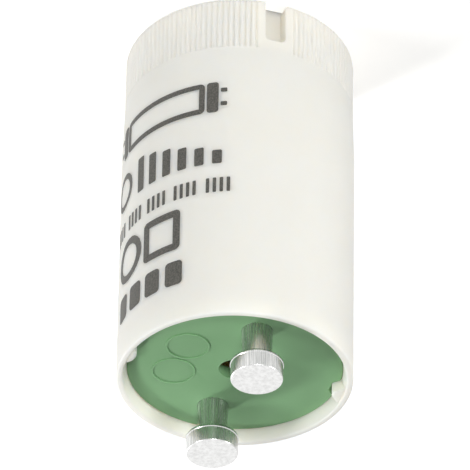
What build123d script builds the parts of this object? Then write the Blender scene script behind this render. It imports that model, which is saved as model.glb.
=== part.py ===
from build123d import *
import math
import os

# A starter canister for a tube lamp holder: a moulded can with two contact pins on a base disc,
# and a small fuse inside that bridges them. Sizes are in millimetres.
# The can stands on its closed end, Z is its axis and points to the pins, and X runs through both pins.

# Can
can_radius = 10.75
can_length = 35.5
can_wall = 0.9
end_thickness = 1.2
end_edge = 0.25
rim_edge = 0.12
floor_edge = 0.5
mouth_depth = 1.2
mouth_flare = 0.32

# Grip band round the closed end
grip_inset = 0.15
grip_height = 5.45
grip_margin = 0.15
taper_length = 5.75
rib_pitch = 0.525
groove_width = 0.36
notch_width = 1.93
notch_height = 4.45
notch_depth = 1.5
notch_round = 0.5
notch_lead_in = 0.35
notch_land = 0.75

# Ribs inside the can that the base disc rests on
seat_rib_count = 4
seat_rib_width = 0.8
seat_rib_depth = 0.4

# Catches inside the mouth that hold the base disc
key_offset = 0.6
key_width = 0.6
key_depth = 0.7
key_height = 1.6
key_slope = 0.25
snap_radius = 1.3
snap_depth = 0.45
snap_height = 1.0
snap_slope = 0.15

# Base disc
disc_thickness = 1.2
disc_gap = 0.03
disc_edge = 0.12
skirt_width = 0.9
skirt_height = 0.8
pin_boss_radius = 2.7
vent_radius = 1.5
ledge_drop = 0.6
key_gap = 0.1
key_play = 0.6
recess_round = 0.2
mark_radius = 2.0
mark_width = 0.16
mark_height = 0.1
mark_spacing = 4.2
mark_offset = 5.2

# Contact pins
pin_spacing = 12.7
pin_reach = 4.05
head_radius = 2.43
head_length = 1.9
head_edge = 0.12
head_back_edge = 0.3
neck_radius = 1.42
neck_tip_radius = 1.32
pin_gap = 0.02
eyelet_radius = 2.2
eyelet_thickness = 0.4
bore_length = 4.4
lead_end_gap = 0.4

# Fuse and its leads
fuse_depth = 2.0
glass_radius = 1.5
glass_wall = 0.35
cap_length = 2.5
cap_wall = 0.25
cap_edge = 0.12
cap_gap = 0.03
solder_length = 0.5
solder_reach = 0.4
fuse_wire_radius = 0.06
lead_reach = 1.35
lead_radius = 0.3
lead_gap = 0.02
lead_corner = 0.6
lead_head_radius = 0.6
lead_head_length = 0.2

# Levels along the axis and radii that several pieces share
bore_radius = can_radius - can_wall
grip_radius = can_radius - grip_inset
mouth_radius = bore_radius + mouth_flare
wall_root = can_wall / 2
disc_face = can_length - mouth_depth
disc_inner_face = disc_face - disc_thickness
seat_level = disc_inner_face - skirt_height
ledge_level = disc_face - ledge_drop
disc_radius = bore_radius - disc_gap
notch_floor = grip_radius - notch_depth
pin_offset = pin_spacing / 2
pin_end = can_length + pin_reach
eyelet_level = seat_level - eyelet_thickness
bore_end = eyelet_level + bore_length
cap_radius = glass_radius + cap_gap + cap_wall
fuse_level = disc_inner_face - fuse_depth - cap_radius
cap_face = pin_offset - lead_reach
solder_face = cap_face - cap_wall
glass_end = solder_face - solder_length
glass_bore = glass_radius - glass_wall
sides = {"right": 1, "left": -1}

os.makedirs("parts", exist_ok=True)

# The grooves of the grip go all round, half a pitch off the X axis, and leave plain land beside each notch
groove_count = round(2 * math.pi * grip_radius / rib_pitch)
groove_angles = [(index + 0.5) * 360 / groove_count for index in range(groove_count)]
land_reach = notch_width / 2 + notch_land
groove_places = [
    Location((0, 0, 0), (0, 0, angle)) * Location((grip_radius, 0, 0))
    for angle in groove_angles
    if abs(math.sin(math.radians(angle))) * grip_radius > land_reach
]

# Housing: the moulded can
with BuildPart() as housing:
    # Wall and closed end, turned from one section
    with BuildSketch(Plane.XZ):
        with BuildLine():
            Polyline(
                (0, 0),
                (grip_radius, 0),
                (grip_radius, grip_height),
                (can_radius, grip_height + taper_length),
                (can_radius, can_length),
                (mouth_radius, can_length),
                (bore_radius, disc_face),
                (bore_radius, end_thickness),
                (0, end_thickness),
                close=True,
            )
        make_face()
    revolve(axis=Axis.Z)
    rings = housing.edges().filter_by(GeomType.CIRCLE)
    chamfer(rings.group_by(Axis.Z)[0], length=end_edge)
    chamfer(rings.group_by(Axis.Z)[-1], length=rim_edge)
    chamfer(rings.filter_by(lambda ring: ring.arc_center.Z == end_thickness), length=floor_edge)

    # Ribs down the wall, whose ends carry the base disc
    with BuildSketch(Plane.XY.offset(end_thickness / 2)):
        with PolarLocations(bore_radius - seat_rib_depth, seat_rib_count, start_angle=45):
            Rectangle(
                seat_rib_depth + wall_root,
                seat_rib_width,
                align=(Align.MIN, Align.CENTER),
            )
    extrude(amount=seat_level - end_thickness / 2)

    # Key with slanting flanks that stands in the recess in the edge of the base disc
    with BuildSketch(Plane.XY.offset(ledge_level)):
        with Locations((key_offset, key_depth - bore_radius)):
            Trapezoid(
                key_width + 4 * key_depth,
                2 * key_depth,
                left_side_angle=45,
                align=(Align.CENTER, Align.MAX),
            )
        Circle(bore_radius + wall_root, mode=Mode.INTERSECT)
    extrude(amount=key_height)
    key_top = housing.faces().filter_by(Axis.Z)
    key_top = key_top.filter_by(lambda face: abs(face.center().Z - ledge_level - key_height) < 0.001)
    chamfer(key_top.edges().filter_by(Axis.X), length=key_slope)

    # Catch that snaps over the edge of the base disc on the other side
    with BuildSketch(Plane.XY.offset(disc_face)):
        with Locations((0, bore_radius - snap_depth + snap_radius)):
            Circle(snap_radius)
        Circle(bore_radius + wall_root, mode=Mode.INTERSECT)
    extrude(amount=snap_height)
    snap_edge = (
        housing.edges()
        .filter_by(GeomType.CIRCLE)
        .filter_by(lambda edge: abs(edge.radius - snap_radius) < 0.001)
    )
    chamfer(snap_edge.group_by(Axis.Z)[-1], length=snap_slope)

    # Thicker corner behind each notch, so that the notch doesn't break into the can
    for side in sides.values():
        with BuildSketch(Plane.XY.offset(end_thickness / 2)):
            with Locations((side * (notch_floor - can_wall), 0)):
                Rectangle(
                    2 * notch_depth,
                    notch_width + 2 * can_wall,
                    align=(Align.MIN if side > 0 else Align.MAX, Align.CENTER),
                )
            Circle(bore_radius, mode=Mode.INTERSECT)
        extrude(amount=notch_height + can_wall - end_thickness / 2)

    # Notches in line with the pins, open to the closed end, where their mouth widens
    half_notch = notch_width / 2
    for side in sides.values():
        with BuildSketch(Plane.YZ.offset(side * notch_floor)) as notch_outline:
            with BuildLine():
                Polyline(
                    (-half_notch, notch_height),
                    (half_notch, notch_height),
                    (half_notch, notch_lead_in),
                    (half_notch + 2 * notch_lead_in, -notch_lead_in),
                    (-half_notch - 2 * notch_lead_in, -notch_lead_in),
                    (-half_notch, notch_lead_in),
                    close=True,
                )
            make_face()
            fillet(notch_outline.vertices().group_by(Axis.Y)[-1], radius=notch_round)
        extrude(amount=side * 2 * notch_depth, mode=Mode.SUBTRACT)

    # V grooves of the grip, which end just below its upper edge
    with BuildSketch(Plane.XY):
        with Locations(*groove_places):
            RegularPolygon(groove_width / 2, side_count=4)
    extrude(amount=grip_height - grip_margin, mode=Mode.SUBTRACT)
housing.part.label = "housing"
export_step(housing.part, "parts/housing.step")

# Base disc: the moulded disc that closes the can and carries the pins
with BuildPart() as base_disc:
    with BuildSketch(Plane.XY.offset(disc_inner_face)):
        Circle(disc_radius)
    extrude(amount=disc_thickness)
    chamfer(base_disc.edges().group_by(Axis.Z)[-1], length=disc_edge)

    # Skirt and pin bosses on the inner face
    with BuildSketch(Plane.XY.offset(seat_level)):
        Circle(disc_radius)
        Circle(disc_radius - skirt_width, mode=Mode.SUBTRACT)
        with Locations((pin_offset, 0), (-pin_offset, 0)):
            Circle(pin_boss_radius)
        Circle(disc_radius, mode=Mode.INTERSECT)
    extrude(amount=skirt_height)

    # Pin holes and the hole at the centre
    with Locations(Plane.XY.offset(disc_face)):
        with Locations((pin_offset, 0), (-pin_offset, 0)):
            Hole(radius=neck_radius + pin_gap, depth=disc_thickness + skirt_height)
        Hole(radius=vent_radius, depth=disc_thickness)

    # Recess in the edge, with a ledge that the key of the can bears on, and with room at the key's left
    with BuildSketch(Plane.XY.offset(disc_face)) as recess_outline:
        with Locations((key_offset - key_play / 2, key_depth + key_gap - bore_radius)):
            Trapezoid(
                key_width + key_play + key_gap + 4 * key_depth,
                2 * key_depth,
                left_side_angle=45,
                align=(Align.CENTER, Align.MAX),
            )
        fillet(recess_outline.vertices().group_by(Axis.Y)[-1], radius=recess_round)
    extrude(amount=-ledge_drop, mode=Mode.SUBTRACT)

    # Two plain raised rings on the outer face
    with BuildSketch(Plane.XY.offset(disc_face)):
        with Locations((mark_spacing / 2, mark_offset), (-mark_spacing / 2, mark_offset)):
            Circle(mark_radius)
            Circle(mark_radius - mark_width, mode=Mode.SUBTRACT)
    extrude(amount=mark_height)
base_disc.part.label = "base_disc"
export_step(base_disc.part, "parts/base_disc.step")

# Contact pins: a wide head, a neck through the base disc, and an eyelet spread on its inner side
for name, side in sides.items():
    pin_place = (side * pin_offset, 0, 0)
    with BuildPart() as contact_pin:
        with BuildSketch(Plane.XZ.shift_origin(pin_place)):
            with BuildLine():
                Polyline(
                    (0, bore_end),
                    (0, pin_end),
                    (head_radius, pin_end),
                    (head_radius, pin_end - head_length),
                    (neck_tip_radius, pin_end - head_length),
                    (neck_radius, disc_face),
                    (neck_radius, seat_level),
                    (eyelet_radius, seat_level),
                    (eyelet_radius, eyelet_level),
                    (lead_radius + lead_gap, eyelet_level),
                    (lead_radius + lead_gap, bore_end),
                    close=True,
                )
            make_face()
        revolve(axis=Axis(pin_place, (0, 0, 1)))
        head_rings = contact_pin.edges().filter_by(GeomType.CIRCLE)
        head_rings = head_rings.filter_by(lambda ring: abs(ring.radius - head_radius) < 0.001)
        chamfer(head_rings.group_by(Axis.Z)[-1], length=head_edge)
        chamfer(head_rings.group_by(Axis.Z)[0], length=head_back_edge)
    contact_pin.part.label = f"contact_pin_{name}"
    export_step(contact_pin.part, f"parts/contact_pin_{name}.step")

# Fuse: a glass tube along X, just inside the base disc
with BuildPart() as fuse_glass_tube:
    with BuildSketch(Plane.YZ.offset(-glass_end)):
        with Locations((0, fuse_level)):
            Circle(glass_radius)
            Circle(glass_bore, mode=Mode.SUBTRACT)
    extrude(amount=2 * glass_end)
fuse_glass_tube.part.label = "fuse_glass_tube"
export_step(fuse_glass_tube.part, "parts/fuse_glass_tube.step")

# Fuse wire, stretched between the two plugs of solder
with BuildPart() as fuse_wire:
    with BuildSketch(Plane.YZ.offset(solder_reach - glass_end)):
        with Locations((0, fuse_level)):
            Circle(fuse_wire_radius)
    extrude(amount=2 * (glass_end - solder_reach))
fuse_wire.part.label = "fuse_wire"
export_step(fuse_wire.part, "parts/fuse_wire.step")

for name, side in sides.items():
    # Brass cap, a short cup pressed over the end of the glass
    with BuildPart() as fuse_cap:
        with BuildSketch(Plane.YZ.offset(side * cap_face)):
            with Locations((0, fuse_level)):
                Circle(cap_radius)
        extrude(amount=-side * cap_length)
        inner_face = fuse_cap.faces().sort_by(Axis.X)[0 if side > 0 else -1]
        offset(amount=-cap_wall, openings=inner_face)
        outer_rim = fuse_cap.edges().group_by(Axis.X)[-1 if side > 0 else 0]
        chamfer(outer_rim, length=cap_edge)
    fuse_cap.part.label = f"fuse_cap_{name}"
    export_step(fuse_cap.part, f"parts/fuse_cap_{name}.step")

    # Solder in the bottom of the cap, which reaches a little way into the glass
    with BuildPart() as fuse_solder:
        with BuildSketch(Plane.YZ.offset(side * solder_face)):
            with Locations((0, fuse_level)):
                Circle(cap_radius - cap_wall)
        extrude(amount=-side * solder_length)
        with BuildSketch(Plane.YZ.offset(side * glass_end)):
            with Locations((0, fuse_level)):
                Circle(glass_bore)
        extrude(amount=-side * solder_reach)
    fuse_solder.part.label = f"fuse_solder_{name}"
    export_step(fuse_solder.part, f"parts/fuse_solder_{name}.step")

    # Lead with a flat head on the cap, bent up into the hollow pin in two sharp bends, as with pliers
    lead_end = bore_end - lead_end_gap
    with BuildPart() as lead:
        with BuildLine(Plane.XZ):
            Polyline(
                (side * cap_face, fuse_level),
                (side * (pin_offset - lead_corner), fuse_level),
                (side * pin_offset, fuse_level + lead_corner),
                (side * pin_offset, lead_end),
            )
        with BuildSketch(Plane.YZ.offset(side * cap_face)):
            with Locations((0, fuse_level)):
                Circle(lead_radius)
        sweep(transition=Transition.RIGHT)
        with BuildSketch(Plane.YZ.offset(side * cap_face)):
            with Locations((0, fuse_level)):
                Circle(lead_head_radius)
        extrude(amount=side * lead_head_length)
    lead.part.label = f"lead_{name}"
    export_step(lead.part, f"parts/lead_{name}.step")
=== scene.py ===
import bmesh
import bpy
import math
from mathutils import Matrix, Vector


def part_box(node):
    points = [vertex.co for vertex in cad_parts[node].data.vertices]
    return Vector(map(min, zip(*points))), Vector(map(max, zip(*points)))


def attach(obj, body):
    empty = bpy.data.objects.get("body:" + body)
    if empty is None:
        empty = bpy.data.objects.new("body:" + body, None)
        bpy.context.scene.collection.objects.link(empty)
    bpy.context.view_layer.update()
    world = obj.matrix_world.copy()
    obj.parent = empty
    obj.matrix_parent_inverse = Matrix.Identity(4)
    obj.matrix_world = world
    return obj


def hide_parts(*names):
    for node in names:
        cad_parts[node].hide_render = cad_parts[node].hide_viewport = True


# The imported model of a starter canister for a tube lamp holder. It stands on its closed end, Z is its
# axis and X runs through both contact pins. Everything is in metres, and mm turns a size into metres.
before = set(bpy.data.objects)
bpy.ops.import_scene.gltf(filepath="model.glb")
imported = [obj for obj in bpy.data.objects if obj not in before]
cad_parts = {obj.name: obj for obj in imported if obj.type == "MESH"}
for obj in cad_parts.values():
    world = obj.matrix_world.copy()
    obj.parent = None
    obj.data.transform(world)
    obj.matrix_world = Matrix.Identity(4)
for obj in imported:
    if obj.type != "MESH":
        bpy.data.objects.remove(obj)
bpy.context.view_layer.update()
mm = 0.001

# Housing: the moulded can, of warm white polycarbonate. One mould gives it the closed end with its
# ribbed grip and its two notches, the seat ribs inside, and the key and the snap catch in the mouth.
can_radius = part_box("housing")[1].x
can_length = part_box("housing")[1].z
can_wall = 0.9 * mm
wall_root = can_wall / 2
end_thickness = 1.2 * mm
end_round = 0.45 * mm
rim_outer_round = 0.2 * mm
rim_inner_round = 0.16 * mm
floor_round = 0.5 * mm
mouth_depth = 1.2 * mm
mouth_flare = 0.32 * mm
disc_face = can_length - mouth_depth
bore_radius = can_radius - can_wall
mouth_radius = bore_radius + mouth_flare
grip_inset = 0.15 * mm
grip_radius = can_radius - grip_inset
grip_height = 5.45 * mm
taper_length = 5.75 * mm
rib_pitch = 0.525 * mm
rib_count = round(2 * math.pi * grip_radius / rib_pitch)
steps_per_rib = 3
groove_depth = 0.18 * mm
groove_rise = 0.15 * mm
groove_height = grip_height + groove_rise
groove_run_out = 0.1 * mm
notch_width = 1.93 * mm
notch_height = 4.45 * mm
notch_depth = 1.5 * mm
notch_round = 0.5 * mm
notch_lead_in = 0.35 * mm
notch_edge = 0.12 * mm
notch_land = 0.75 * mm
seat_rib_count = 4
seat_rib_width = 0.8 * mm
seat_rib_depth = 0.4 * mm
seat_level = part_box("base_disc")[0].z
key_offset = 0.6 * mm
key_width = 0.6 * mm
key_depth = 0.7 * mm
key_height = 1.6 * mm
key_slope = 0.25 * mm
key_flank_round = 0.2 * mm
ledge_drop = 0.6 * mm
ledge_level = disc_face - ledge_drop
snap_radius = 1.3 * mm
snap_depth = 0.45 * mm
snap_height = 1.0 * mm
snap_slope = 0.3 * mm

# How far from a level or a side a place may lie and still be picked as one on it. Corners are found and
# merged within small shares of it.
near = 0.01 * mm


def start(operator, name, **settings):
    """Adds a primitive, settles its place and size in its mesh, and opens it with everything selected."""
    bpy.ops.object.select_all(action="DESELECT")
    operator(**settings)
    bpy.ops.object.transform_apply(location=True, rotation=True, scale=True)
    piece = bpy.context.object
    piece.name = piece.data.name = name
    bpy.ops.object.mode_set(mode="EDIT")
    bpy.ops.mesh.select_mode(type="VERT")
    return piece


def pick(piece, part, test):
    """Selects only the vertices, edges or faces whose middle passes the test."""
    mesh = bmesh.from_edit_mesh(piece.data)
    bpy.ops.mesh.select_mode(type={"verts": "VERT", "edges": "EDGE", "faces": "FACE"}[part])
    bpy.ops.mesh.select_all(action="DESELECT")
    for item in getattr(mesh, part):
        corners = [item] if part == "verts" else item.verts
        middle = sum((corner.co for corner in corners), Vector()) / len(corners)
        if test(middle):
            item.select_set(True)
    mesh.select_flush_mode()
    bmesh.update_edit_mesh(piece.data)


def turned(name, outline, rounds, steps, axis=(0, 0)):
    """A form turned about an upright axis from (radius, height) points, with some corners rounded."""
    piece = start(bpy.ops.mesh.primitive_plane_add, name, size=mm)
    bpy.ops.mesh.merge(type="CENTER")
    bpy.ops.transform.translate(value=(axis[0] + outline[0][0], axis[1], outline[0][1]))
    for (radius, height), (next_radius, next_height) in zip(outline, outline[1:]):
        move = (next_radius - radius, 0, next_height - height)
        bpy.ops.mesh.extrude_vertices_move(TRANSFORM_OT_translate={"value": move})
    for (radius, height), size in rounds.items():
        corner = Vector((axis[0] + radius, axis[1], height))
        pick(piece, "verts", lambda middle: (middle - corner).length < near / 10)
        bpy.ops.mesh.bevel(offset=size, offset_type="OFFSET", segments=5, affect="VERTICES")
    bpy.ops.mesh.select_all(action="SELECT")
    bpy.ops.mesh.spin(steps=steps, angle=2 * math.pi, center=(*axis, 0), axis=(0, 0, 1))
    bpy.ops.mesh.select_all(action="SELECT")
    bpy.ops.mesh.remove_doubles(threshold=near / 20)
    bpy.ops.mesh.normals_make_consistent(inside=False)
    return piece


def carve(piece, tool, operation):
    """Joins a tool to a piece or cuts it out of the piece, and deletes the tool."""
    bpy.ops.object.mode_set(mode="OBJECT")
    bpy.ops.object.select_all(action="DESELECT")
    bpy.context.view_layer.objects.active = piece
    boolean = piece.modifiers.new("carve", "BOOLEAN")
    boolean.object = tool
    boolean.operation = operation
    boolean.solver = "EXACT"
    bpy.ops.object.modifier_apply(modifier=boolean.name)
    bpy.data.objects.remove(tool)


end_corner = (grip_radius, 0)
rim = (can_radius, can_length)
mouth = (mouth_radius, can_length)
floor_corner = (bore_radius, end_thickness)
grip_corner = (can_radius, grip_height + taper_length)
housing_outline = [
    (0, 0),
    end_corner,
    (grip_radius, groove_height - groove_run_out),
    (grip_radius, groove_height),
    grip_corner,
    rim,
    mouth,
    (bore_radius, disc_face),
    floor_corner,
    (0, end_thickness),
]
housing_rounds = {
    end_corner: end_round, rim: rim_outer_round, mouth: rim_inner_round, floor_corner: floor_round,
}
housing_steps = rib_count * steps_per_rib
housing = turned("housing_shell", housing_outline, housing_rounds, housing_steps)

# The columns are shifted by half a step, so that every third one runs down the middle of a groove
step_angle = 2 * math.pi / housing_steps
bpy.ops.transform.rotate(value=step_angle / 2, orient_axis="Z", center_override=(0, 0, 0))
land_reach = notch_width / 2 + notch_land


def in_groove(middle):
    """True for the vertices of the grip band that lie at the bottom of a groove."""
    column = round(math.atan2(middle.y, middle.x) / step_angle - 0.5)
    level = end_round - near < middle.z < groove_height - groove_run_out / 2
    on_face = middle.xy.length > grip_radius - near
    return level and on_face and column % steps_per_rib == 1 and abs(middle.y) > land_reach


pick(housing, "verts", in_groove)
deeper = (grip_radius - groove_depth) / grip_radius
bpy.ops.transform.resize(value=(deeper, deeper, 1), center_override=(0, 0, 0))
bpy.ops.object.mode_set(mode="OBJECT")

# Ribs down the inner wall, whose ends carry the base disc
first_rib = math.radians(45)
rib_low = end_thickness / 2
rib_middle = bore_radius + (wall_root - seat_rib_depth) / 2
for index in range(seat_rib_count):
    angle = first_rib + index * 2 * math.pi / seat_rib_count
    rib = start(
        bpy.ops.mesh.primitive_cube_add, "seat_rib_tool", size=1, rotation=(0, 0, angle),
        location=(rib_middle * math.cos(angle), rib_middle * math.sin(angle), (rib_low + seat_level) / 2),
        scale=(seat_rib_depth + wall_root, seat_rib_width, seat_level - rib_low),
    )
    carve(housing, rib, "UNION")

# Notches in line with the pins. Each has a thicker corner behind it, rounded upper corners, soft outer
# edges and a mouth that widens to the closed end.
notch_inner = grip_radius - notch_depth
notch_front = grip_radius - notch_edge
corner_inner = notch_inner - can_wall
corner_outer = bore_radius + wall_root / 2
corner_top = notch_height + can_wall
notch_side = notch_width / 2 - near
lead_in_spread = (1, 1 + 4 * notch_lead_in / notch_width, 1)
edge_spread = (1, 1 + 4 * notch_edge / notch_width, 1 + 4 * notch_edge / notch_height)
for side in (1, -1):
    corner = start(
        bpy.ops.mesh.primitive_cube_add, "corner_tool", size=1,
        location=(side * (corner_inner + corner_outer) / 2, 0, (rib_low + corner_top) / 2),
        scale=(corner_outer - corner_inner, notch_width + 2 * can_wall, corner_top - rib_low),
    )
    carve(housing, corner, "UNION")
    notch = start(
        bpy.ops.mesh.primitive_cube_add, "notch_tool", size=1,
        location=(side * (notch_inner + notch_front) / 2, 0, (notch_height + notch_lead_in) / 2),
        scale=(notch_front - notch_inner, notch_width, notch_height - notch_lead_in),
    )
    pick(notch, "edges", lambda middle: middle.z > notch_height - near and abs(middle.y) > notch_side)
    bpy.ops.mesh.bevel(offset=notch_round, segments=6)
    pick(notch, "faces", lambda middle: middle.z < notch_lead_in + near)
    bpy.ops.mesh.extrude_region_move(TRANSFORM_OT_translate={"value": (0, 0, -2 * notch_lead_in)})
    bpy.ops.transform.resize(value=lead_in_spread, center_override=(0, 0, 0))
    pick(notch, "faces", lambda middle: side * middle.x > notch_front - near)
    bpy.ops.mesh.extrude_region_move(TRANSFORM_OT_translate={"value": (side * 2 * notch_edge, 0, 0)})
    bpy.ops.transform.resize(value=edge_spread, center_override=(0, 0, notch_height / 2))
    carve(housing, notch, "DIFFERENCE")

# Key that stands in the recess of the base disc. Its flanks slant at 45 degrees down to the wall.
key_face = key_depth - bore_radius
key_back = -bore_radius - wall_root
key_top = ledge_level + key_height
key_side = key_width / 2 - near
key = start(
    bpy.ops.mesh.primitive_cube_add, "key_tool", size=1,
    location=(key_offset, (key_face + key_back) / 2, ledge_level + key_height / 2),
    scale=(key_width, key_face - key_back, key_height),
)
pick(key, "faces", lambda middle: middle.y < key_back + near)
flank_spread = 1 + 2 * (key_face - key_back) / key_width
bpy.ops.transform.resize(value=(flank_spread, 1, 1), center_override=(key_offset, 0, 0))
pick(key, "edges", lambda middle: middle.z > key_top - near and middle.y > key_face - near)
bpy.ops.mesh.bevel(offset=key_slope, segments=4)
pick(key, "edges", lambda middle: middle.y > key_face - near and abs(middle.x - key_offset) > key_side)
bpy.ops.mesh.bevel(offset=key_flank_round, segments=4)
carve(housing, key, "UNION")

# Catch that snaps over the edge of the base disc on the other side
snap = start(
    bpy.ops.mesh.primitive_cylinder_add, "snap_tool", vertices=72, radius=snap_radius, depth=snap_height,
    location=(0, bore_radius - snap_depth + snap_radius, disc_face + snap_height / 2),
)
pick(snap, "edges", lambda middle: middle.z > disc_face + snap_height - near)
bpy.ops.mesh.bevel(offset=snap_slope, segments=4)
bpy.ops.mesh.select_all(action="SELECT")
bpy.ops.mesh.bisect(
    plane_co=(0, bore_radius + wall_root, 0), plane_no=(0, 1, 0), use_fill=True, clear_outer=True
)
carve(housing, snap, "UNION")


def linear(hex_colour):
    """An sRGB hex colour as the linear one that a shader takes."""
    channels = [int(hex_colour[first:first + 2], 16) / 255 for first in (1, 3, 5)]
    return (*[c / 12.92 if c <= 0.04045 else ((c + 0.055) / 1.055) ** 2.4 for c in channels], 1)


def add_node(tree, kind, links=None, **settings):
    """Adds a node. A link feeds an input by its name or number with a socket or a plain value."""
    node = tree.nodes.new(kind)
    for key, value in settings.items():
        setattr(node, key, value)
    for key, value in (links or {}).items():
        if isinstance(value, bpy.types.NodeSocket):
            tree.links.new(value, node.inputs[key])
        else:
            node.inputs[key].default_value = value
    return node


def new_material(name):
    """An empty material's tree, and the object coordinates that its patterns follow."""
    material = bpy.data.materials.new(name)
    material.use_nodes = True
    tree = material.node_tree
    tree.nodes.clear()
    return tree, add_node(tree, "ShaderNodeTexCoord").outputs["Object"]


# Edges that bend by more than this stay sharp
crease = math.radians(30)


def dress(piece, material_name):
    """Gives a piece its one material."""
    piece.data.materials.clear()
    piece.data.materials.append(bpy.data.materials[material_name])


def finish(piece):
    """Leaves edit mode, shades a piece smooth between its sharp edges, and has it ride on the part."""
    bpy.ops.object.mode_set(mode="OBJECT")
    bpy.ops.object.select_all(action="DESELECT")
    piece.select_set(True)
    bpy.context.view_layer.objects.active = piece
    bpy.ops.object.shade_smooth_by_angle(angle=crease)
    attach(piece, "root")


# Moulded polycarbonate: a warm white that lets some light through, so its shadows are soft and creamy.
# Its mould was spark eroded, which leaves a fine grain, drawn coarser here so that it shows, and the
# melt leaves faint clouds in its tone.
can_white = "#F7F2E8"
can_cloud = "#F3EDE0"
cloud_size = 6 * mm
grain_size = 0.16 * mm
grain_relief = 0.006 * mm
tree, place = new_material("spark_eroded_polycarbonate_white")
clouds = add_node(
    tree, "ShaderNodeTexNoise", {"Vector": place, "Scale": 1 / cloud_size, "Detail": 3},
).outputs["Fac"]
grain = add_node(
    tree, "ShaderNodeTexNoise", {"Vector": place, "Scale": 1 / grain_size, "Detail": 2},
).outputs["Fac"]
bump = add_node(tree, "ShaderNodeBump", {"Height": grain, "Strength": 0.25, "Distance": grain_relief})
rough = add_node(tree, "ShaderNodeMapRange", {"Value": clouds, "To Min": 0.46, "To Max": 0.56})
# A Mix node takes its factor at 0 and its two colours at 6 and 7, and gives the mixed colour at 2
tone = add_node(
    tree, "ShaderNodeMix", {0: clouds, 6: linear(can_white), 7: linear(can_cloud)}, data_type="RGBA",
).outputs[2]
surface = add_node(
    tree, "ShaderNodeBsdfPrincipled",
    {
        "Base Color": tone, "Roughness": rough.outputs[0], "IOR": 1.58,
        "Subsurface Weight": 1.0, "Subsurface Radius": (1, 0.92, 0.82), "Subsurface Scale": 1.8 * mm,
        "Normal": bump.outputs[0],
    },
)
add_node(tree, "ShaderNodeOutputMaterial", {"Surface": surface.outputs[0]})
dress(housing, "spark_eroded_polycarbonate_white")
finish(housing)
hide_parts("housing")

# Print: one dark grey ink, pad printed on the side of the can. It shows plain marks only: a lamp tube,
# bars and a ring, groups of ticks, a larger ring and a square, and four blocks.
ink_height = 0.015 * mm
ink_root = 0.01 * mm
fine_stroke = 0.55 * mm
bold_stroke = 1.35 * fine_stroke
strip_width = 0.3 * mm
print_start = math.radians(18)
marks = []


def mark(left, low, width, height, corner, stroke=0):
    """A flat mark with rounded corners, sized in millimetres. A stroke, in metres, leaves an outline."""
    place = ((left + width / 2) * mm, 0, (low + height / 2) * mm)
    piece = start(
        bpy.ops.mesh.primitive_plane_add, "mark", size=mm, location=place, rotation=(math.pi / 2, 0, 0),
    )
    bpy.ops.transform.resize(value=(width, 1, height), center_override=place)
    bpy.ops.mesh.bevel(offset=corner * mm, offset_type="OFFSET", segments=6, affect="VERTICES")
    if stroke:
        pick(piece, "faces", lambda middle: True)
        bpy.ops.mesh.inset(thickness=stroke)
        bpy.ops.mesh.delete(type="FACE")
    bpy.ops.object.mode_set(mode="OBJECT")
    marks.append(piece)


# Lamp tube with a cap and two pins at each end
mark(left=3.2, low=9.7, width=9.9, height=3.4, corner=0.5, stroke=fine_stroke)
for left in (1.9, 13.3):
    mark(left=left, low=9.7, width=1.1, height=3.4, corner=0.3)
for left in (1.1, 14.6):
    for low in (10.4, 11.95):
        mark(left=left, low=low, width=0.6, height=0.45, corner=0.1)

# Bars that grow in height and end at one level, and a ring beside them
for index in range(6):
    height = 1.5 + 0.46 * index
    mark(left=1.5 + 1.7 * index, low=18.9 - height, width=0.9, height=height, corner=0.15)
mark(left=12.0, low=15.05, width=3.8, height=3.8, corner=1.85, stroke=fine_stroke)

# Ticks in groups of four
for index in range(24):
    if index % 5 != 4:
        mark(left=0.7 + 0.64 * index, low=20.5, width=0.32, height=1.6, corner=0.08)

# A larger ring and a square, and four blocks
mark(left=10.1, low=23.1, width=4.6, height=4.6, corner=2.25, stroke=bold_stroke)
mark(left=5.4, low=23.2, width=4.3, height=4.4, corner=0.5, stroke=bold_stroke)
for index in range(4):
    mark(left=5.1 + 2.5 * index, low=28.9, width=1.8, height=2.6, corner=0.4)

bpy.ops.object.select_all(action="DESELECT")
for piece in marks:
    piece.select_set(True)
print_sheet = marks[0]
bpy.context.view_layer.objects.active = print_sheet
bpy.ops.object.join()
print_sheet.name = print_sheet.data.name = "pad_print"
reach = [vertex.co.x for vertex in print_sheet.data.vertices]
print_width = max(reach) - min(reach)

# The marks are cut at the taper's end and into strips, bent round the axis of the can, and turned to
# their side of it, where a minus turns them forwards. Then they are laid on it and given thickness.
bpy.ops.object.mode_set(mode="EDIT")
bpy.ops.mesh.select_all(action="SELECT")
bpy.ops.mesh.bisect(plane_co=(0, 0, grip_corner[1]), plane_no=(0, 0, 1))
for index in range(1, math.ceil(max(reach) / strip_width)):
    bpy.ops.mesh.select_all(action="SELECT")
    bpy.ops.mesh.bisect(plane_co=(index * strip_width, 0, 0), plane_no=(1, 0, 0))
bpy.ops.object.mode_set(mode="OBJECT")
bend = print_sheet.modifiers.new("bend", "SIMPLE_DEFORM")
bend.deform_method = "BEND"
bend.deform_axis = "Z"
bend.angle = print_width / can_radius
bpy.ops.object.modifier_apply(modifier=bend.name)
bpy.ops.object.mode_set(mode="EDIT")
bpy.ops.mesh.select_all(action="SELECT")
bpy.ops.transform.translate(value=(0, -can_radius, 0))
print_turn = -(math.pi / 2 + print_start)
bpy.ops.transform.rotate(value=print_turn, orient_axis="Z", center_override=(0, 0, 0))
bpy.ops.object.mode_set(mode="OBJECT")
lay = print_sheet.modifiers.new("lay", "SHRINKWRAP")
lay.target = housing
lay.wrap_mode = "ABOVE_SURFACE"
lay.offset = ink_height
bpy.ops.object.modifier_apply(modifier=lay.name)
thicken = print_sheet.modifiers.new("thicken", "SOLIDIFY")
thicken.thickness = ink_height + ink_root
thicken.offset = -1
bpy.ops.object.modifier_apply(modifier=thicken.name)
bpy.ops.object.mode_set(mode="EDIT")
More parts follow.
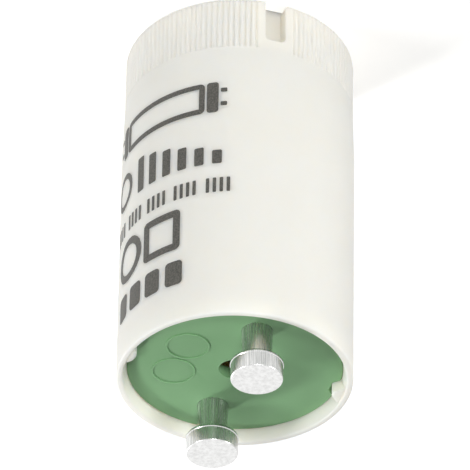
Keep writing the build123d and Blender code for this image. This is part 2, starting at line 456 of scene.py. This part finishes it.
bpy.ops.mesh.select_all(action="SELECT")
bpy.ops.mesh.normals_make_consistent(inside=False)

# Pad printing ink: a soft dark grey that the grain of the can leaves a little open, so it looks speckled.
# The specks are drawn coarser than they are, like the grain.
ink_grey = "#33322E"
ink_open = "#5C5A53"
speck_size = 0.14 * mm
speck_relief = 0.005 * mm
tree, place = new_material("pad_printing_ink_grey")
specks = add_node(
    tree, "ShaderNodeTexNoise", {"Vector": place, "Scale": 1 / speck_size, "Detail": 3},
).outputs["Fac"]
contrast = add_node(
    tree, "ShaderNodeMapRange", {"Value": specks, "From Min": 0.35, "From Max": 0.65},
).outputs[0]
rough = add_node(tree, "ShaderNodeMapRange", {"Value": contrast, "To Min": 0.45, "To Max": 0.6})
bump = add_node(tree, "ShaderNodeBump", {"Height": specks, "Strength": 0.3, "Distance": speck_relief})
tone = add_node(
    tree, "ShaderNodeMix", {0: contrast, 6: linear(ink_grey), 7: linear(ink_open)}, data_type="RGBA",
).outputs[2]
surface = add_node(
    tree, "ShaderNodeBsdfPrincipled",
    {
        "Base Color": tone, "Roughness": rough.outputs[0], "IOR": 1.5,
        "Normal": bump.outputs[0],
    },
)
add_node(tree, "ShaderNodeOutputMaterial", {"Surface": surface.outputs[0]})
dress(print_sheet, "pad_printing_ink_grey")
finish(print_sheet)

# Fuse: a glass tube with a brass cap at each end, a fine wire between two plugs of solder, and a tinned
# copper lead from each cap. It hangs on its leads in the closed can, just inside the base disc.

# Drawn glass tube: clear and a little green, with the faint lines that drawing leaves along it. They are
# coarser here than real ones, so that they show.
glass_clear = "#F4F9F6"
glass_green = "#E9F2EC"
line_width = 0.25 * mm
line_length = 8 * mm
line_relief = 0.01 * mm
tree, place = new_material("drawn_soda_glass")
along = add_node(
    tree, "ShaderNodeMapping", {"Vector": place, "Scale": (1 / line_length, 1 / line_width, 1 / line_width)},
)
lines = add_node(
    tree, "ShaderNodeTexNoise", {"Vector": along.outputs[0], "Scale": 1, "Detail": 2},
).outputs["Fac"]
bump = add_node(tree, "ShaderNodeBump", {"Height": lines, "Strength": 0.15, "Distance": line_relief})
rough = add_node(tree, "ShaderNodeMapRange", {"Value": lines, "To Min": 0.02, "To Max": 0.07})
tone = add_node(
    tree, "ShaderNodeMix", {0: lines, 6: linear(glass_clear), 7: linear(glass_green)}, data_type="RGBA",
).outputs[2]
surface = add_node(
    tree, "ShaderNodeBsdfPrincipled",
    {
        "Base Color": tone, "Roughness": rough.outputs[0], "IOR": 1.52,
        "Transmission Weight": 1.0, "Normal": bump.outputs[0],
    },
)
add_node(tree, "ShaderNodeOutputMaterial", {"Surface": surface.outputs[0]})
dress(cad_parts["fuse_glass_tube"], "drawn_soda_glass")


def worn_metal(name, light, dark, patch_size, smoothest, roughest, bare=1):
    """A metal with patches of a little tarnish. The bare share of it shines, and the rest is dull."""
    tree, place = new_material(name)
    patches = add_node(
        tree, "ShaderNodeTexNoise", {"Vector": place, "Scale": 1 / patch_size, "Detail": 5},
    ).outputs["Fac"]
    contrast = add_node(
        tree, "ShaderNodeMapRange", {"Value": patches, "From Min": 0.3, "From Max": 0.7},
    ).outputs[0]
    rough = add_node(
        tree, "ShaderNodeMapRange", {"Value": contrast, "To Min": smoothest, "To Max": roughest},
    )
    bump = add_node(
        tree, "ShaderNodeBump", {"Height": patches, "Strength": 0.2, "Distance": patch_size / 50},
    )
    tone = add_node(
        tree, "ShaderNodeMix", {0: contrast, 6: linear(light), 7: linear(dark)}, data_type="RGBA",
    ).outputs[2]
    surface = add_node(
        tree, "ShaderNodeBsdfPrincipled",
        {
            "Base Color": tone, "Metallic": bare, "Roughness": rough.outputs[0],
            "Normal": bump.outputs[0],
        },
    )
    add_node(tree, "ShaderNodeOutputMaterial", {"Surface": surface.outputs[0]})


# Pressed brass is warm with brownish tarnish, soft solder is dull and grey with frosty patches, tinned
# copper is bright, and the melting wire is finer and greyer than the leads.
worn_metal(
    "pressed_brass", "#F2D9A0", "#D9B374", patch_size=0.8 * mm, smoothest=0.5, roughest=0.7, bare=0.5,
)
worn_metal("soft_solder", "#BDBDBE", "#96979A", patch_size=0.4 * mm, smoothest=0.35, roughest=0.6)
worn_metal("tinned_copper_wire", "#D6D4CE", "#BDB7AA", patch_size=0.5 * mm, smoothest=0.2, roughest=0.4)
worn_metal("fusible_wire", "#C4C2BC", "#A8A49C", patch_size=0.1 * mm, smoothest=0.25, roughest=0.45)
dress(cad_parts["fuse_wire"], "fusible_wire")
for side in ("right", "left"):
    dress(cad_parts[f"fuse_cap_{side}"], "pressed_brass")
    dress(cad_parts[f"fuse_solder_{side}"], "soft_solder")
    dress(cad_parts[f"lead_{side}"], "tinned_copper_wire")

# Base disc: moulded in green plastic and snapped into the mouth of the can, with two plain rings raised
# on its face. The colour is mixed into the melt, and it has a fine grain like the can's, drawn as coarse.
disc_green = "#82AD80"
disc_cloud = "#7CA77A"
disc_cloud_size = 3 * mm
tree, place = new_material("moulded_plastic_green")
clouds = add_node(
    tree, "ShaderNodeTexNoise", {"Vector": place, "Scale": 1 / disc_cloud_size, "Detail": 4},
).outputs["Fac"]
grain = add_node(
    tree, "ShaderNodeTexNoise", {"Vector": place, "Scale": 1 / grain_size, "Detail": 2},
).outputs["Fac"]
bump = add_node(tree, "ShaderNodeBump", {"Height": grain, "Strength": 0.3, "Distance": grain_relief})
rough = add_node(tree, "ShaderNodeMapRange", {"Value": clouds, "To Min": 0.4, "To Max": 0.5})
tone = add_node(
    tree, "ShaderNodeMix", {0: clouds, 6: linear(disc_green), 7: linear(disc_cloud)}, data_type="RGBA",
).outputs[2]
surface = add_node(
    tree, "ShaderNodeBsdfPrincipled",
    {
        "Base Color": tone, "Roughness": rough.outputs[0], "IOR": 1.5,
        "Specular IOR Level": 0.25, "Subsurface Weight": 0.3, "Subsurface Radius": (0.7, 1, 0.7),
        "Subsurface Scale": 0.5 * mm, "Normal": bump.outputs[0],
    },
)
add_node(tree, "ShaderNodeOutputMaterial", {"Surface": surface.outputs[0]})
dress(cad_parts["base_disc"], "moulded_plastic_green")

# Contact pins: turned from drawn aluminium bar. Each has a wide head with a fine lip round its back, a
# neck that narrows a little towards the head, and a hollow end that is spread against the inner side of
# the base disc.
head_length = 1.9 * mm
head_edge = 0.12 * mm
head_back_edge = 0.3 * mm
head_lip = 0.06 * mm
neck_radius = 1.42 * mm
neck_tip_radius = 1.32 * mm
eyelet_radius = 2.2 * mm
lead_hole_radius = 0.32 * mm
lead_hole_depth = 4.4 * mm
pin_steps = 96
# The middle of the head's face is turned a little deeper than its rim
facing_share = 0.75
facing_depth = 0.02 * mm
facing_slope = 4 * facing_depth

# Drawn aluminium, turned and tumbled: its sides keep the streaks of the drawn bar, and its faces show
# the ends of the same grain, which tumbling leaves as a faint pale mottle. Both are drawn coarser than
# they are, so that they show. The sides are also painted darker than the faces, as painted shade on them.
# The side colours are darker than the face colours: streaks of grain, and painted shade on the sides
streak_and_shade_dark = "#A2A4A2"
streak_and_shade_bright = "#E2E2E1"
face_light = "#C8C8C7"
face_bright = "#F4F4F3"
streak_width = 0.12 * mm
streak_length = 4 * mm
mottle_size = 0.45 * mm
metal_relief = 0.008 * mm
tree, place = new_material("turned_drawn_aluminium")
direction = add_node(tree, "ShaderNodeTexCoord").outputs["Normal"]
upright = add_node(tree, "ShaderNodeSeparateXYZ", {0: direction}).outputs["Z"]
steep = add_node(tree, "ShaderNodeMath", {0: upright}, operation="ABSOLUTE").outputs[0]
on_face = add_node(
    tree, "ShaderNodeMapRange", {"Value": steep, "From Min": 0.5, "From Max": 0.9},
).outputs[0]
along = add_node(
    tree, "ShaderNodeMapping",
    {"Vector": place, "Scale": (1 / streak_width, 1 / streak_width, 1 / streak_length)},
)
streaks = add_node(
    tree, "ShaderNodeTexNoise", {"Vector": along.outputs[0], "Scale": 1, "Detail": 4, "Roughness": 0.65},
).outputs["Fac"]
streaks = add_node(
    tree, "ShaderNodeMapRange", {"Value": streaks, "From Min": 0.3, "From Max": 0.7},
).outputs[0]
mottle = add_node(
    tree, "ShaderNodeTexNoise", {"Vector": place, "Scale": 1 / mottle_size, "Detail": 4},
).outputs["Fac"]
mottle = add_node(
    tree, "ShaderNodeMapRange", {"Value": mottle, "From Min": 0.35, "From Max": 0.65, "To Min": 0.6},
).outputs[0]
# For plain values, a Mix node takes the two at 2 and 3, and gives the mixed one at 0
grain = add_node(tree, "ShaderNodeMix", {0: on_face, 2: streaks, 3: mottle}).outputs[0]
# Tone of the sides: streaks of grain, set darker overall as painted shade
streak_and_shade_tone = add_node(
    tree, "ShaderNodeMix", {0: streaks, 6: linear(streak_and_shade_dark), 7: linear(streak_and_shade_bright)},
    data_type="RGBA",
).outputs[2]
face_tone = add_node(
    tree, "ShaderNodeMix", {0: mottle, 6: linear(face_light), 7: linear(face_bright)}, data_type="RGBA",
).outputs[2]
tone = add_node(
    tree, "ShaderNodeMix", {0: on_face, 6: streak_and_shade_tone, 7: face_tone}, data_type="RGBA",
).outputs[2]
rough = add_node(tree, "ShaderNodeMapRange", {"Value": grain, "To Min": 0.34, "To Max": 0.18})
bump = add_node(tree, "ShaderNodeBump", {"Height": grain, "Strength": 0.1, "Distance": metal_relief})
surface = add_node(
    tree, "ShaderNodeBsdfPrincipled",
    {
        "Base Color": tone, "Metallic": 1, "Roughness": rough.outputs[0], "Normal": bump.outputs[0],
    },
)
add_node(tree, "ShaderNodeOutputMaterial", {"Surface": surface.outputs[0]})

for name in ("contact_pin_right", "contact_pin_left"):
    low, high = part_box(name)
    pin_x = (low.x + high.x) / 2
    head_radius = (high.x - low.x) / 2
    head_back = high.z - head_length
    head_side = head_radius - head_lip
    head_rim = (head_side, high.z)
    head_heel = (head_radius, head_back)
    neck_corner = (neck_tip_radius, head_back)
    facing_radius = facing_share * head_radius
    pin_outline = [
        (0, high.z - facing_depth),
        (facing_radius, high.z - facing_depth),
        (facing_radius + facing_slope, high.z),
        head_rim,
        (head_side, head_back + head_back_edge + 2 * head_lip),
        (head_radius, head_back + head_back_edge + head_lip),
        head_heel,
        neck_corner,
        (neck_radius, disc_face),
        (neck_radius, seat_level),
        (eyelet_radius, seat_level),
        (eyelet_radius, low.z),
        (lead_hole_radius, low.z),
        (lead_hole_radius, low.z + lead_hole_depth),
        (0, low.z + lead_hole_depth),
    ]
    pin_rounds = {head_rim: head_edge, head_heel: head_back_edge, neck_corner: head_edge}
    pin = turned("turned_" + name, pin_outline, pin_rounds, pin_steps, (pin_x, 0))
    dress(pin, "turned_drawn_aluminium")
    finish(pin)
    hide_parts(name)

# Studio: a plain pale floor, weak light from all round and four soft lamps: two high ones beside the
# snap catch, and two low ones in front of the can. What the camera and reflections see is near white.
floor_white = "#F4F4F3"
floor_size = 2.0
floor_drop = 2 * near
near_glow = 0.42
far_glow = 0.85
glow_start = 50 * mm
glow_end = 300 * mm
sky_level = 0.14


def seen_directly(tree):
    """One for the rays of the camera, of reflections and of glass, and zero for the others."""
    rays = add_node(tree, "ShaderNodeLightPath").outputs
    seen = add_node(
        tree, "ShaderNodeMath", {0: rays["Is Camera Ray"], 1: rays["Is Glossy Ray"]}, operation="MAXIMUM",
    )
    seen = add_node(
        tree, "ShaderNodeMath", {0: seen.outputs[0], 1: rays["Is Transmission Ray"]}, operation="MAXIMUM",
    )
    return seen.outputs[0]


# Matt paper: white and without gloss, so it shows only soft shadows. Its glow lights nothing, shows only
# to the camera, in reflections and through glass, and grows with the distance from the can. The floor
# lies a hair below the closed end, because two faces at one level would flicker.
floor = start(bpy.ops.mesh.primitive_plane_add, "floor", size=floor_size, location=(0, 0, -floor_drop))
bpy.ops.object.mode_set(mode="OBJECT")
tree, place = new_material("paper_floor")
away = add_node(tree, "ShaderNodeVectorMath", {0: place}, operation="LENGTH").outputs["Value"]
spread = add_node(
    tree, "ShaderNodeMapRange",
    {"Value": away, "From Min": glow_start, "From Max": glow_end, "To Min": near_glow, "To Max": far_glow},
)
glow = add_node(
    tree, "ShaderNodeMath", {0: seen_directly(tree), 1: spread.outputs[0]}, operation="MULTIPLY",
)
matt = add_node(tree, "ShaderNodeBsdfDiffuse", {"Color": linear(floor_white)})
lit = add_node(tree, "ShaderNodeEmission", {"Color": (1, 1, 1, 1), "Strength": glow.outputs[0]})
both = add_node(tree, "ShaderNodeAddShader", {0: matt.outputs[0], 1: lit.outputs[0]})
add_node(tree, "ShaderNodeOutputMaterial", {"Surface": both.outputs[0]})
dress(floor, "paper_floor")

# The world is a weak white sky that shows as full white where it is seen directly
world = bpy.data.worlds.new("studio")
bpy.context.scene.world = world
world.use_nodes = True
tree = world.node_tree
tree.nodes.clear()
level = add_node(
    tree, "ShaderNodeMapRange", {"Value": seen_directly(tree), "To Min": sky_level, "To Max": 1.0},
)
sky = add_node(tree, "ShaderNodeBackground", {"Color": (1, 1, 1, 1), "Strength": level.outputs[0]})
add_node(tree, "ShaderNodeOutputWorld", {"Surface": sky.outputs[0]})


def soft_lamp(name, azimuth, elevation, distance, size, power):
    """A round area lamp that stands in a direction from the middle of the can's mouth and points at it."""
    lamp_data = bpy.data.lights.new(name, "AREA")
    lamp_data.shape = "DISK"
    lamp_data.size = size
    lamp_data.energy = power
    lamp = bpy.data.objects.new(name, lamp_data)
    bpy.context.scene.collection.objects.link(lamp)
    turn = Matrix.Rotation(math.radians(azimuth), 3, "Z") @ Matrix.Rotation(-math.radians(elevation), 3, "Y")
    towards = turn @ Vector((1, 0, 0))
    lamp.location = Vector((0, 0, can_length)) + towards * distance
    lamp.rotation_euler = towards.to_track_quat("Z", "Y").to_euler()


soft_lamp("key_lamp", azimuth=85, elevation=38, distance=220 * mm, size=60 * mm, power=0.155)
soft_lamp("edge_lamp", azimuth=150, elevation=30, distance=220 * mm, size=40 * mm, power=0.235)
soft_lamp("front_lamp", azimuth=10, elevation=20, distance=900 * mm, size=220 * mm, power=3.7)
soft_lamp("side_lamp", azimuth=-50, elevation=12, distance=300 * mm, size=120 * mm, power=0.34)

# Camera: a long lens from a little over the open end, turned over so that the pins point down in the
# picture, as the can was photographed. Its angles are in degrees, and it stands at its heading less 90,
# counted from the X axis.
camera_target = Vector((-0.0586, 0.1807, 19.344)) * mm
camera_distance = 643.506 * mm
camera_heading = 107.975
camera_elevation = 35.466
camera_roll = 180.923
camera_data = bpy.data.cameras.new("camera")
camera_data.sensor_width = 36
camera_data.lens = 536.17
camera_data.clip_start = 0.01
camera_data.clip_end = 20
camera = bpy.data.objects.new("camera", camera_data)
bpy.context.scene.collection.objects.link(camera)
camera_turn = (
    Matrix.Rotation(math.radians(camera_heading), 4, "Z")
    @ Matrix.Rotation(math.radians(90 - camera_elevation), 4, "X")
    @ Matrix.Rotation(math.radians(camera_roll), 4, "Z")
)
camera_back = camera_turn.col[2].xyz
camera.matrix_world = Matrix.Translation(camera_target + camera_back * camera_distance) @ camera_turn
bpy.context.scene.camera = camera
bpy.context.scene.view_settings.view_transform = "Standard"
